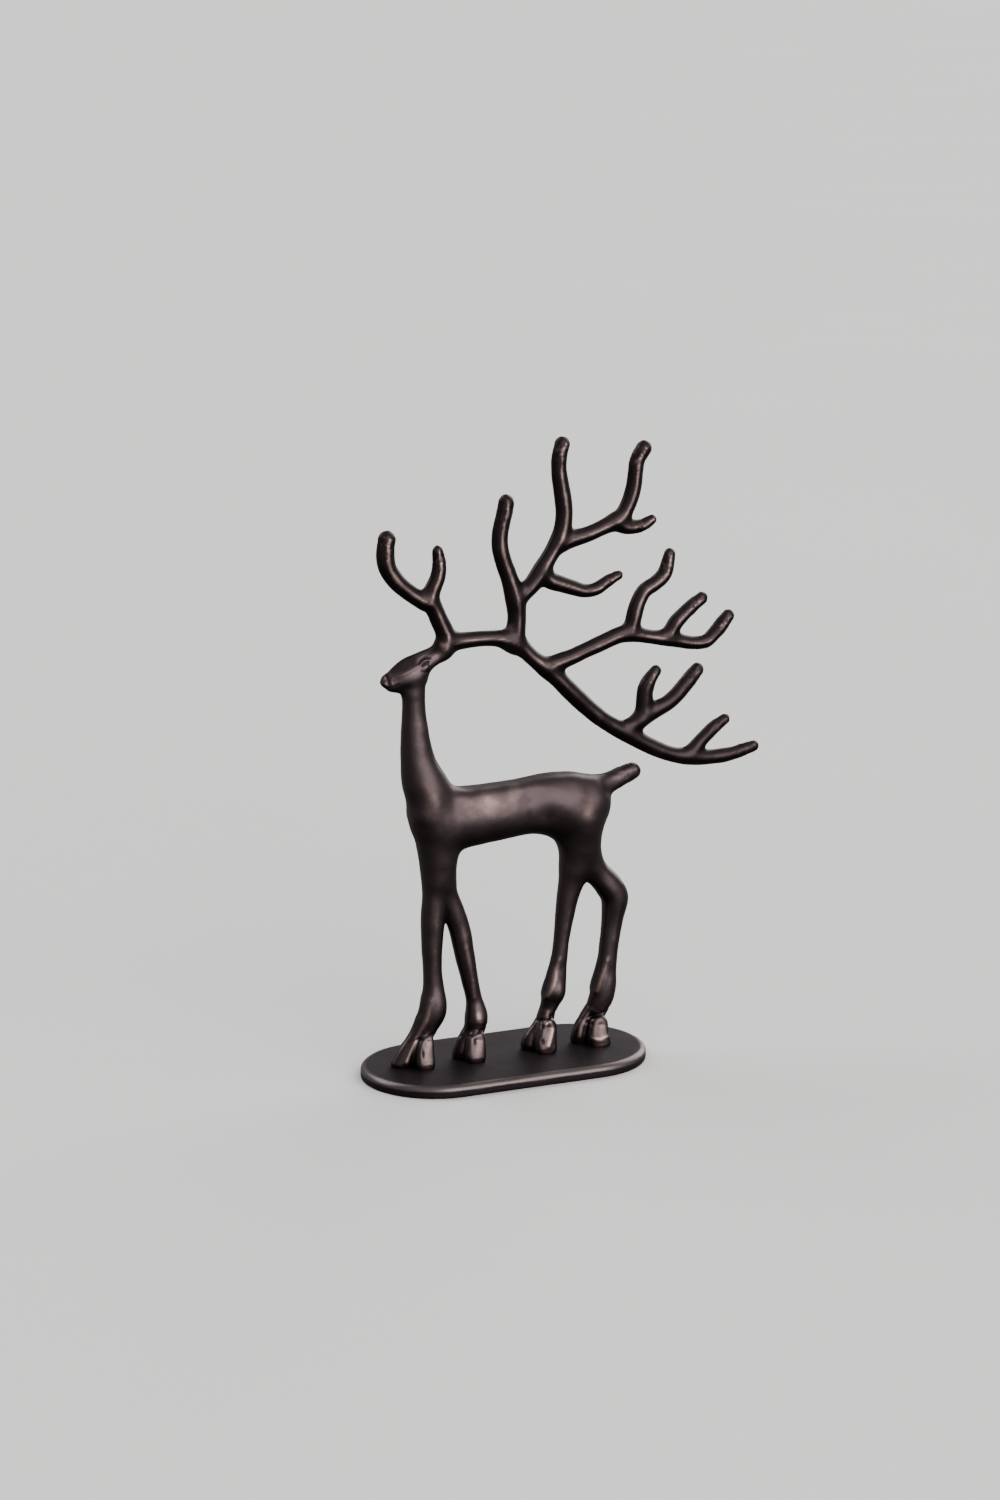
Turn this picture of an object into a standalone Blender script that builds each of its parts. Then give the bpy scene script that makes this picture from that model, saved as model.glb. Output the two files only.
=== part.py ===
"""A standing reindeer with wide branching antlers, cast in one piece, on an oval plate.

Metres, +Z up. The origin is the centre of the plate's underside, the plate's long axis
lies along X, the head looks towards -X, and the figure's left flank faces -Y.
"""
import bmesh
import bpy
import numpy as np
from mathutils import Vector

# Driving dimensions
FIGURE_HEIGHT = 0.294        # from the soles to the tip of the tallest tine
PLATE_THICKNESS = 0.006      # oval plate, underside to top face
PLATE_END_MARGIN = 0.014     # plate beyond the foremost and the hindmost hoof
PLATE_SIDE_MARGIN = 0.0275   # plate beside the hooves, each side
PLATE_TOP_ROUND = 0.0027     # radius of the plate's upper edge
PLATE_FOOT_ROUND = 0.0009    # radius of the plate's lower edge
SEAT_GAP = 0.0003            # clearance between the soles and the plate

# The pose is drawn on a squared sheet in the figure's middle plane: squares along X from
# the plate's centre, squares up in Z, and radii in squares. It scales with the figure.
SOLE_LINE = 6.0              # the sheet's line that the soles stand on
TOP_LINE = 300.5             # the sheet's line that the tallest tine touches
STANCE_HALF_LENGTH = 57.0    # squares from the middle to the foremost toe
STANCE_HALF_WIDTH = 8.0      # squares from the middle plane to the outer hoof
SQUARE = FIGURE_HEIGHT / (TOP_LINE - SOLE_LINE)
SOLE_HEIGHT = PLATE_THICKNESS + SEAT_GAP

# Fineness of the casting's faceted surface
RING_SIDES = 16              # corners round each limb
RUN_STEP = 2.5               # squares between the rings of a limb
CAP_STEPS = 4                # rings that round off a limb's end
SKIN_CELL = 1.0              # squares, grid on which the limbs are fused
SMOOTH_PASSES = 5            # softens the fused joints like a casting's fillets
SKIN_ALLOWANCE = 0.15        # squares, put on each radius for what the softening takes off
KEEP_SHARE = 0.072           # share of the fused skin's triangles that is kept

# Depth of each kind of limb across the middle plane, over its radius in the plane
TRUNK_DEPTH = 0.84
NECK_DEPTH = 0.90
HEAD_DEPTH = 0.80
LEG_DEPTH = 0.95
ANTLER_DEPTH = 0.86

TRUNK = {
    "barrel": [(-36, 126, 10.5), (-30, 124.6, 13.2), (-21, 124.2, 14.8), (-10, 124.8, 14.4),
               (0, 125.4, 14.1), (12, 126.5, 13.4), (22, 125.8, 14.5), (31, 124.8, 15.4),
               (38.6, 123.6, 15.0), (43.2, 122.4, 11.4)],
    "tail": [(42, 129, 8.5), (48, 132, 6.8), (54, 134.2, 5.4), (60, 136.2, 4.9),
             (64, 137.4, 4.5), (66.7, 138.0, 3.9)],
    "elbow": [(-34.6, 109, 8.4), (-27, 114, 7.2), (-19, 118.5, 7.6)],
    "stifle": [(39, 104, 9.2), (32, 110, 7.4), (23, 117.5, 6.4)],
}

NECK = {
    "neck": [(-45.5, 190, 5.6), (-45.5, 183, 5.3), (-45.4, 174, 5.8), (-45.1, 165, 6.7),
             (-44.6, 158, 7.6), (-43.6, 151, 8.7), (-41.6, 144, 10.5), (-38.7, 135, 11.8),
             (-36.6, 126, 11.8), (-35.2, 117, 11.0), (-34.6, 108, 9.5), (-34.2, 100, 7.8)],
    "withers": [(-41, 146, 9.4), (-34, 138, 8.5), (-27, 132.5, 8.0)],
}

HEAD = {
    "skull": [(-59.2, 192.0, 3.0), (-57, 192.2, 4.6), (-53, 193.6, 6.6), (-48, 195.4, 7.9),
              (-43.8, 197.4, 7.1), (-40.2, 200.4, 5.3), (-36, 203.4, 4.1),
              (-30.5, 206.2, 3.7)],
}

LEGS = {
    "left foreleg": [(-36, 120, 9.8), (-35.2, 106, 7.8), (-35.4, 95, 6.2), (-36.2, 86, 5.6),
                     (-36.8, 76, 5.5), (-37.1, 64, 4.8), (-37.0, 53, 4.4), (-36.8, 45, 4.8),
                     (-37.0, 38, 6.1), (-37.3, 32, 6.5), (-39.9, 25.5, 5.6), (-41.4, 21, 5.0)],
    "right foreleg": [(-32.4, 116, 8.8), (-31.9, 102, 6.4), (-29.0, 90, 5.5), (-25.2, 80, 5.6),
                      (-22.5, 69, 4.9), (-20.4, 58, 4.6), (-18.0, 46, 4.0), (-15.6, 36, 4.2),
                      (-14.3, 27, 5.5), (-15.0, 20.5, 4.7)],
    "left hind leg": [(40, 120, 13.0), (38.6, 106, 10.2), (36.2, 93, 7.8), (33.6, 81, 5.7),
                      (31.6, 69, 4.6), (30.0, 58, 3.9), (28.5, 48, 3.9), (26.9, 39, 4.9),
                      (25.9, 32.5, 5.7), (23.9, 26.5, 4.3), (22.6, 21.5, 4.4)],
    "right hind leg": [(40.4, 118, 12.3), (41.2, 104, 9.0), (46.0, 92.9, 7.1), (53.5, 84.5, 6.6),
                       (57.4, 76.5, 6.5), (56.4, 66, 5.4), (55.1, 55, 4.9), (53.8, 44, 5.0),
                       (52.4, 34.5, 5.9), (51.0, 27.5, 5.8), (49.0, 21.5, 5.0)],
}

# Each hoof has a far toe that points ahead and a near toe that turns outwards
TOES = {
    "left foreleg": ([(-41.6, 23, 4.6), (-46.5, 15.5, 4.5), (-51.2, 8, 5.0), (-52.6, 3, 5.2)],
                     [(-40.2, 23, 4.4), (-41.2, 15.5, 4.4), (-41.8, 8, 4.7), (-41.8, 3, 4.8)]),
    "right foreleg": ([(-15.6, 22, 4.2), (-19.4, 15.5, 4.0), (-22.0, 8, 4.2), (-22.8, 3, 4.3)],
                      [(-14.6, 22, 4.5), (-16.0, 15.5, 4.7), (-16.8, 8, 4.9), (-16.8, 3, 5.0)]),
    "left hind leg": ([(22.6, 22, 4.0), (18.4, 15.5, 3.8), (14.8, 8, 4.0), (14.0, 3, 4.1)],
                      [(22.4, 22, 4.4), (20.8, 15.5, 4.8), (19.8, 8, 5.2), (19.8, 3, 5.3)]),
    "right hind leg": ([(48.0, 22, 4.4), (43.6, 15.5, 3.9), (40.6, 8, 4.0), (39.8, 3, 4.1)],
                       [(48.4, 22, 4.6), (47.6, 15.5, 4.9), (47.2, 8, 5.3), (47.2, 3, 5.4)]),
}
FAR_TOE_SIDE = 2.6           # squares to the far side at the ground
NEAR_TOE_SIDE = -3.6         # squares to the near side at the ground

ANTLERS = {
    "brow stem": [(-30, 205, 4.1), (-30, 212, 4.2), (-33, 219, 4.2), (-36.3, 226.4, 4.3),
                  (-41, 228.6, 3.7), (-47, 232.6, 3.7), (-53.4, 238.4, 3.9),
                  (-58.2, 245, 4.1), (-59.5, 252, 4.2), (-58.6, 258.8, 4.1)],
    "inner brow tine": [(-37, 226, 3.9), (-35.6, 232.5, 3.9), (-33.3, 240, 3.6),
                        (-32.7, 246, 3.2), (-33.6, 251.6, 2.4)],
    "bridge": [(-33, 204.9, 3.9), (-26.5, 207.6, 4.3), (-19, 208.6, 3.6), (-11, 209, 3.5),
               (-3, 208.3, 3.6), (4, 206.2, 3.9)],
    "second stem": [(5, 205, 4.6), (5.9, 213, 4.3), (6, 221, 4.5), (4.5, 229, 4.3),
                    (2.3, 236.5, 4.0), (-0.6, 244.5, 3.9), (-2.4, 252, 3.8), (-2, 259, 3.8),
                    (-0.3, 266, 3.7), (0.6, 271.4, 3.6)],
    "tall stem": [(5.6, 225.5, 4.2), (11, 230.2, 4.2), (16, 235.2, 4.4), (20.7, 241.8, 4.0),
                  (25.2, 248.6, 4.3), (29, 256.4, 4.0), (30.1, 264, 4.0), (29.6, 271, 4.0),
                  (28.4, 278, 3.9), (27.3, 285, 3.7), (27.5, 291.5, 3.6), (28.4, 296.9, 3.6)],
    "back branch": [(28, 252.4, 4.4), (34, 252.8, 3.9), (41, 253.6, 3.7), (48, 255.8, 3.7),
                    (55, 258.4, 4.0), (60, 261.4, 3.7), (63.4, 267, 3.7), (65.7, 274, 3.8),
                    (66.8, 281, 3.5), (67.8, 287.4, 3.5), (70.3, 292.3, 3.8)],
    "back branch spur": [(56, 258.6, 3.4), (61, 256.8, 3.2), (66, 255.8, 3.0), (71, 256.2, 2.9),
                         (75.4, 258.8, 2.0)],
    "low tine": [(19, 239, 3.6), (23, 234.4, 3.5), (28.5, 231.4, 3.3), (34.5, 229, 3.0),
                 (41, 227.4, 2.9), (47, 227.8, 2.9), (53, 230.6, 2.6), (58.6, 233.4, 1.9)],
    "main beam": [(2, 206.4, 4.2), (8, 203, 3.8), (14, 197.8, 3.7), (20, 192.7, 3.8),
                  (26.8, 186.8, 4.0), (32.7, 180.9, 4.2), (38.7, 175, 4.2), (44.7, 169.5, 4.0),
                  (50.8, 164.6, 3.8), (59.8, 158.6, 3.8), (68.9, 153.4, 3.8), (78, 148.3, 3.7),
                  (88, 144, 3.5), (98, 141.8, 3.5), (108, 141, 3.4), (118, 141.4, 3.2),
                  (126, 143, 2.9), (131, 144.2, 2.4)],
    "upper beam": [(22.4, 192.4, 5.0), (28, 193.8, 4.1), (35, 196.0, 3.7), (43, 199.0, 3.7),
                   (51, 201.8, 3.8), (59, 204.4, 4.0), (66, 204.5, 3.7), (74, 202.7, 3.2),
                   (82, 201.2, 3.2), (90, 199.4, 3.1), (98, 197.7, 3.0), (104.8, 198.0, 3.1),
                   (109.4, 201.6, 3.4), (113.2, 205.8, 3.5), (116.4, 209.4, 2.8)],
    "upper beam front tine": [(64.4, 205.5, 4.0), (66.3, 212, 3.9), (68.4, 219, 3.7),
                              (71.9, 224.6, 3.6), (77.4, 227.8, 3.5), (81.9, 231.4, 3.5),
                              (84.0, 237, 3.3), (84.9, 241.6, 2.4)],
    "upper beam back tine": [(85.4, 203.2, 3.9), (88.8, 207.8, 3.4), (93.2, 212.3, 3.3),
                             (97.2, 215.5, 3.3), (102.2, 218.9, 2.8)],
    "middle fork": [(64, 157.8, 3.9), (69, 161, 4.0), (73.4, 164.8, 4.2), (79.4, 167.2, 3.9),
                    (85, 169.8, 3.7), (90.2, 173.9, 3.7), (95, 178.8, 3.7), (100.1, 184.6, 3.1)],
    "middle fork front tine": [(73.4, 165.5, 3.8), (73, 172, 3.5), (73.3, 178, 3.8),
                               (75.4, 183.2, 3.4), (78.2, 186.6, 2.4)],
    "end fork": [(94, 143.6, 3.6), (98.6, 145.8, 3.5), (102.4, 149.4, 3.3), (106.4, 152.8, 3.2),
                 (111, 156.6, 3.0), (115, 159.4, 2.4)],
}


def remove_everything():
    """Leave an empty scene for the model."""
    for item in list(bpy.data.objects):
        bpy.data.objects.remove(item, do_unlink=True)


def make_finish(name, colour, roughness, metallic):
    """One Principled material."""
    finish = bpy.data.materials.new(name)
    finish.use_nodes = True
    shader = finish.node_tree.nodes["Principled BSDF"]
    shader.inputs["Base Color"].default_value = (*colour, 1.0)
    shader.inputs["Roughness"].default_value = roughness
    shader.inputs["Metallic"].default_value = metallic
    return finish


def add_object(name, body, finish):
    """Link one bmesh into the scene as a named object with its material."""
    bmesh.ops.recalc_face_normals(body, faces=body.faces)
    mesh = bpy.data.meshes.new(name)
    body.to_mesh(mesh)
    body.free()
    mesh.materials.append(finish)
    item = bpy.data.objects.new(name, mesh)
    bpy.context.collection.objects.link(item)
    return item


def smooth_run(stations):
    """A Catmull-Rom curve through the stations, in steps of about RUN_STEP squares."""
    points = np.array(stations, dtype=float)
    padded = np.vstack([2 * points[0] - points[1], points, 2 * points[-1] - points[-2]])
    run = []
    for index in range(len(points) - 1):
        before, start, end, after = padded[index:index + 4]
        steps = max(1, round(float(np.hypot(*(end - start)[:2])) / RUN_STEP))
        for share in np.arange(steps) / steps:
            slope = end - before
            bend = 2 * before - 5 * start + 4 * end - after
            twist = 3 * start - before - 3 * end + after
            run.append(start + 0.5 * share * (slope + share * (bend + share * twist)))
    run.append(points[-1])
    return np.array(run)


def add_limb(body, stations, depth, side_start=0.0, side_end=0.0):
    """Loft one closed limb with round ends through stations of (x, z, radius)."""
    run = smooth_run(stations)
    run[:, 2] += SKIN_ALLOWANCE
    sides = np.linspace(side_start, side_end, len(run))
    centres = np.column_stack([run[:, 0], sides, run[:, 1]])
    along = np.gradient(centres, axis=0)
    along /= np.linalg.norm(along, axis=1)[:, None]
    across = np.column_stack([-along[:, 2], np.zeros(len(run)), along[:, 0]])
    across /= np.linalg.norm(across, axis=1)[:, None]
    turns = np.arange(CAP_STEPS) / CAP_STEPS * np.pi / 2
    rings = []
    for turn in turns[:0:-1]:
        rings.append((centres[0] - along[0] * run[0, 2] * np.sin(turn), 0, np.cos(turn)))
    rings += [(centre, index, 1.0) for index, centre in enumerate(centres)]
    for turn in turns[1:]:
        rings.append((centres[-1] + along[-1] * run[-1, 2] * np.sin(turn), -1, np.cos(turn)))
    loops = []
    for centre, index, share in rings:
        radius = run[index, 2] * share
        loop = []
        for corner in range(RING_SIDES):
            turn = 2 * np.pi * corner / RING_SIDES
            point = centre + across[index] * radius * np.cos(turn)
            point[1] += depth * radius * np.sin(turn)
            loop.append(body.verts.new(on_sheet(*point)))
        loops.append(loop)
    for lower, upper in zip(loops, loops[1:]):
        for corner in range(RING_SIDES):
            beside = (corner + 1) % RING_SIDES
            body.faces.new((lower[corner], lower[beside], upper[beside], upper[corner]))
    ends = ((loops[0], centres[0] - along[0] * run[0, 2]),
            (loops[-1], centres[-1] + along[-1] * run[-1, 2]))
    for loop, tip in ends:
        pole = body.verts.new(on_sheet(*tip))
        for corner in range(RING_SIDES):
            body.faces.new((loop[corner], loop[(corner + 1) % RING_SIDES], pole))


def on_sheet(x, y, z):
    """Place in metres of a point given in squares of the sheet."""
    return Vector((x * SQUARE, y * SQUARE,
                   SOLE_HEIGHT + (z - SOLE_LINE) * SQUARE))


def make_sole_cutter():
    """A block whose top is the plane on which all four hooves are cut flat."""
    body = bmesh.new()
    bmesh.ops.create_cube(body, size=1.0)
    reach = 4 * STANCE_HALF_LENGTH * SQUARE
    depth = 2 * SOLE_LINE * SQUARE
    bmesh.ops.scale(body, vec=(reach, reach, depth), verts=body.verts)
    bmesh.ops.translate(body, vec=(0, 0, SOLE_HEIGHT - depth / 2), verts=body.verts)
    cutter = add_object("sole_cutter", body, make_finish("cutter", (0.5, 0.5, 0.5), 0.5, 0))
    cutter.hide_render = True
    cutter.display_type = "WIRE"
    return cutter


def make_reindeer():
    """The whole animal with its antlers as one casting, fused from its limbs."""
    body = bmesh.new()
    groups = ((TRUNK, TRUNK_DEPTH), (NECK, NECK_DEPTH), (HEAD, HEAD_DEPTH),
              (LEGS, LEG_DEPTH), (ANTLERS, ANTLER_DEPTH))
    for limbs, depth in groups:
        for stations in limbs.values():
            add_limb(body, stations, depth)
    for far_toe, near_toe in TOES.values():
        add_limb(body, far_toe, LEG_DEPTH, 0.0, FAR_TOE_SIDE)
        add_limb(body, near_toe, LEG_DEPTH, 0.0, NEAR_TOE_SIDE)
    reindeer = add_object("reindeer", body,
                          make_finish("dark cast metal", (0.045, 0.037, 0.037), 0.42, 0.9))
    fuse = reindeer.modifiers.new("fuse", "REMESH")
    fuse.mode = "VOXEL"
    fuse.voxel_size = SKIN_CELL * SQUARE
    soften = reindeer.modifiers.new("soften", "SMOOTH")
    soften.iterations = SMOOTH_PASSES
    soften.factor = 0.5
    thin = reindeer.modifiers.new("thin", "DECIMATE")
    thin.ratio = KEEP_SHARE
    cut = reindeer.modifiers.new("soles", "BOOLEAN")
    cut.operation = "DIFFERENCE"
    cut.object = make_sole_cutter()


def make_oval_plate():
    """The flat plate with half-round ends, its upper edge well rounded."""
    end_radius = STANCE_HALF_WIDTH * SQUARE + PLATE_SIDE_MARGIN
    straight = STANCE_HALF_LENGTH * SQUARE + PLATE_END_MARGIN - end_radius
    steps = np.linspace(0, np.pi / 2, 5)
    foot = [(PLATE_FOOT_ROUND * (1 - np.sin(turn)), PLATE_FOOT_ROUND * (1 - np.cos(turn)))
            for turn in steps[[0, 2, 4]]]
    top = [(PLATE_TOP_ROUND * (1 - np.cos(turn)),
            PLATE_THICKNESS - PLATE_TOP_ROUND * (1 - np.sin(turn))) for turn in steps]
    body = bmesh.new()
    loops = []
    for inset, height in foot + top:
        loop = []
        for end in (1, -1):
            for turn in np.linspace(-np.pi / 2, np.pi / 2, 25):
                radius = end_radius - inset
                loop.append(body.verts.new((end * (straight + radius * np.cos(turn)),
                                            end * radius * np.sin(turn), height)))
        loops.append(loop)
    for lower, upper in zip(loops, loops[1:]):
        for corner in range(len(lower)):
            beside = (corner + 1) % len(lower)
            body.faces.new((lower[corner], lower[beside], upper[beside], upper[corner]))
    body.faces.new(loops[0][::-1])
    body.faces.new(loops[-1])
    plate = add_object("oval_plate", body,
                       make_finish("black plate", (0.022, 0.020, 0.021), 0.55, 0.8))
    plate.data.shade_smooth()
    plate.data.set_sharp_from_angle(angle=0.6)


remove_everything()
make_reindeer()
make_oval_plate()
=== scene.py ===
"""A cast metal reindeer with wide antlers on an oval plate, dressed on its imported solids.

The animal is drawn as limbs on a squared sheet in its middle plane. Their sections are
worked out as one smooth field, a fine skin is laid on it, and the carving follows.
"""

import bmesh
import bpy
import numpy as np
from bpy.props import FloatProperty, FloatVectorProperty, IntProperty, PointerProperty
from bpy.types import Operator, Panel, PropertyGroup
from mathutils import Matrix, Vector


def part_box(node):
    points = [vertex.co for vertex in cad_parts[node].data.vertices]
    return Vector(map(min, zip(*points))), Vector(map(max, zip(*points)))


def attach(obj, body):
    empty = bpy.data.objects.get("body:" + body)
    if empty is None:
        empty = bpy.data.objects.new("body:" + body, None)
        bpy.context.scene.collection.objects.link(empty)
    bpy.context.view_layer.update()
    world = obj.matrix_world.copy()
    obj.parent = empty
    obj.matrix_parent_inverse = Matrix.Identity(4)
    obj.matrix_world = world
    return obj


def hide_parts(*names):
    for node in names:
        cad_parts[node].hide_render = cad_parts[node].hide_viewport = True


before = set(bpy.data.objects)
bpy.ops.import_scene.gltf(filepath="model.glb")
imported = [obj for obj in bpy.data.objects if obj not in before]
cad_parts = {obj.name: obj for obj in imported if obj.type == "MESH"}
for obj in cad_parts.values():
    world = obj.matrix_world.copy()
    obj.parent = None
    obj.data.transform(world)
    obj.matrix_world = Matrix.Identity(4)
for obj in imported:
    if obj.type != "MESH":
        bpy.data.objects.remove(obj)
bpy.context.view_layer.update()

bl_info = {
    "name": "Cast Reindeer on an Oval Plate",
    "version": (1, 0, 0),
    "blender": (4, 5, 0),
    "location": "View3D > Sidebar > Reindeer",
    "description": "Makes a dark cast reindeer figurine, its oval plate and a pale studio",
    "category": "Object",
}

# The sheet: squares along X from the plate's centre and up in Z, sized by the casting
FIGURE_LOW, FIGURE_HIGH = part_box("reindeer")
PLATE_LOW, PLATE_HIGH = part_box("oval_plate")
SOLE_LINE = 6.0
TOP_LINE = 300.5
SQUARE = (FIGURE_HIGH.z - FIGURE_LOW.z) / (TOP_LINE - SOLE_LINE)

# Each kind of limb: depth over radius, fullness of its section above and below the limb's
# middle line (2 is an ellipse, less has a crest, more is boxy), how soft the crest is, and
# its lean: how much thinner it gets between two heights, which are over the radius
UPRIGHT = (0.0, 0.0, 1.0)
KINDS = {
    "trunk": (0.84, 4.6, 2.2, 0.0, (0.36, -0.05, 1.2)),
    "neck": (0.90, 2.15, 2.15, 0.0, UPRIGHT),
    "head": (0.84, 1.30, 2.7, 0.10, (0.34, -0.9, 0.9)),
    "leg": (0.94, 1.75, 1.75, 0.20, UPRIGHT),
    "far toe": (0.92, 1.70, 1.70, 0.18, UPRIGHT),
    "near toe": (0.95, 4.0, 4.0, 0.0, UPRIGHT),
    "antler": (0.90, 1.50, 1.50, 0.14, UPRIGHT),
}

# The painted highlight, partly wear, along the crest of the kinds that have one: its width over the
# radius and its strength
CREST_HIGHLIGHTS = {"antler": (0.20, 0.9), "leg": (0.22, 0.50), "far toe": (0.34, 0.3),
          "near toe": (0.60, 0.5)}

# Stations of (x, z, radius) in squares, read along the middle of each limb
TRUNK = {
    "barrel": [(-36, 126, 10.2), (-30, 125.0, 12.6), (-21, 124.7, 13.9), (-10, 125.1, 13.7),
               (0, 125.7, 13.4), (12, 126.7, 12.9), (22, 126.3, 13.7), (31, 125.6, 14.3),
               (36.6, 124.6, 12.6)],
    "elbow": [(-34.2, 110, 6.4), (-27.5, 115, 5.8), (-19, 119.5, 6.2)],
    "stifle": [(38, 105, 6.6), (32.6, 111, 5.6), (24, 118.5, 5.2)],
}

NECK = {
    "neck": [(-45.6, 190, 5.1), (-45.6, 183, 5.2), (-45.5, 174, 5.8), (-45.1, 165, 6.8),
             (-44.4, 158, 7.5), (-43.2, 151, 8.4), (-41.0, 144, 9.8), (-37.8, 135, 10.8),
             (-35.6, 126, 10.4), (-34.0, 117, 9.2), (-33.6, 108, 7.4), (-33.6, 100, 5.6)],
    "nape": [(-42.0, 193.6, 3.0), (-39.6, 198.4, 3.2), (-35.4, 202.2, 2.9), (-31.0, 204.8, 2.6)],
    "tail": [(40, 129, 7.0), (47, 131.9, 5.6), (54, 133.9, 4.8), (60, 136.0, 4.6),
             (64, 137.4, 4.4), (66.6, 138.2, 3.8)],
    "jaw": [(-56.6, 190.4, 2.5), (-52.8, 190.1, 3.1), (-48, 191.2, 4.1), (-44.5, 193, 4.9)],
    "rump": [(22, 127.4, 11.6), (32, 127.0, 12.4), (39, 126.0, 11.4), (44.6, 124.4, 8.6)],
    "left upper arm": [(-34.8, 120, 8.2), (-34.2, 106, 6.0), (-34.8, 96, 5.0)],
    "right upper arm": [(-32.8, 116, 7.2), (-32.6, 103, 4.9), (-31.0, 94, 4.0)],
    "left thigh": [(38.6, 120, 10.6), (38.6, 107, 8.2), (36.8, 95, 6.2)],
    "right thigh": [(38.6, 118, 9.8), (40.2, 105, 7.0), (44.2, 95, 5.2)],
    "withers": [(-40.6, 143.4, 7.2), (-34, 135.2, 7.2), (-26, 130.5, 6.8)],
}

HEAD = {
    "skull": [(-59.1, 192.9, 2.8), (-57, 193.2, 3.9), (-53, 194.8, 5.7), (-48, 196.9, 6.8),
              (-43.8, 198.9, 6.1), (-40.2, 201.1, 4.8), (-36, 203.3, 4.1), (-31.5, 205.6, 3.6)],
}

LEGS = {
    "left foreleg": [(-34.6, 104, 5.2), (-35.1, 95, 5.4), (-36.0, 86, 5.6),
                     (-36.8, 76, 5.5), (-37.1, 64, 5.0), (-36.9, 53, 4.5), (-36.5, 45, 4.8),
                     (-36.4, 38, 6.0), (-36.8, 32, 6.6), (-39.0, 26, 5.3), (-41.0, 21.5, 4.0)],
    "right foreleg": [(-32.0, 100, 4.4), (-29.8, 90, 4.6),
                      (-26.0, 80, 4.9), (-22.6, 69, 5.0), (-20.5, 58, 4.7), (-18.0, 46, 4.1),
                      (-15.8, 36, 3.8), (-14.7, 29, 5.1), (-14.5, 25, 5.7),
                      (-15.0, 20.6, 4.2)],
    "left hind leg": [(38.2, 102, 6.6), (36.3, 93, 6.4), (33.1, 81, 5.3),
                      (31.1, 69, 4.4), (29.6, 58, 3.8), (28.3, 48, 4.0), (26.8, 39, 5.0),
                      (25.6, 33.5, 5.9), (23.9, 28.4, 4.3), (22.6, 24, 3.6), (21.6, 20, 3.8)],
    "right hind leg": [(41.2, 102, 5.8), (45.8, 92.9, 5.7),
                       (53.3, 84.5, 6.5), (57.6, 76.8, 6.6), (56.4, 66, 5.1),
                       (55.0, 55, 4.7), (53.6, 44, 4.8), (52.2, 34.5, 6.0), (51.0, 28, 5.9),
                       (49.0, 22, 4.3)],
}

# Each hoof is cloven: a far toe that reaches forward and a blunt near toe beside it
FAR_TOES = {
    "left foreleg": [(-41.2, 27, 3.8), (-45.2, 19, 4.0), (-49.4, 12, 4.7), (-51.8, 6.5, 5.4)],
    "right foreleg": [(-16.2, 22, 3.2), (-19.4, 16, 3.6), (-21.0, 11, 4.0), (-21.6, 6.5, 4.3)],
    "left hind leg": [(21.9, 23, 2.9), (18.1, 16.5, 3.3), (14.8, 11, 3.9), (14.0, 6.5, 4.4)],
    "right hind leg": [(47.6, 24, 3.2), (43.4, 17, 3.6), (40.8, 11, 4.0), (40.2, 6.5, 4.4)],
}
NEAR_TOES = {
    "left foreleg": [(-41.4, 19.0, 3.0), (-42.2, 15.5, 4.1), (-42.6, 11, 4.6), (-42.7, 6.5, 4.9)],
    "right foreleg": [(-16.2, 16.6, 4.2), (-16.5, 14, 4.7), (-16.8, 10.5, 5.1), (-16.9, 6.5, 5.2)],
    "left hind leg": [(21.4, 18.0, 4.0), (20.4, 14.5, 4.9), (19.6, 10.5, 5.4), (19.5, 6.5, 5.6)],
    "right hind leg": [(47.8, 16.0, 4.2), (47.4, 13.0, 5.0), (47.3, 10.0, 5.6), (47.6, 6.5, 6.2)],
}
# How far each toe stands out to its side, at its top and at its sole
FAR_TOE_SIDES = (0.6, 2.8)
NEAR_TOE_SIDES = (-2.0, -3.7)

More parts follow.
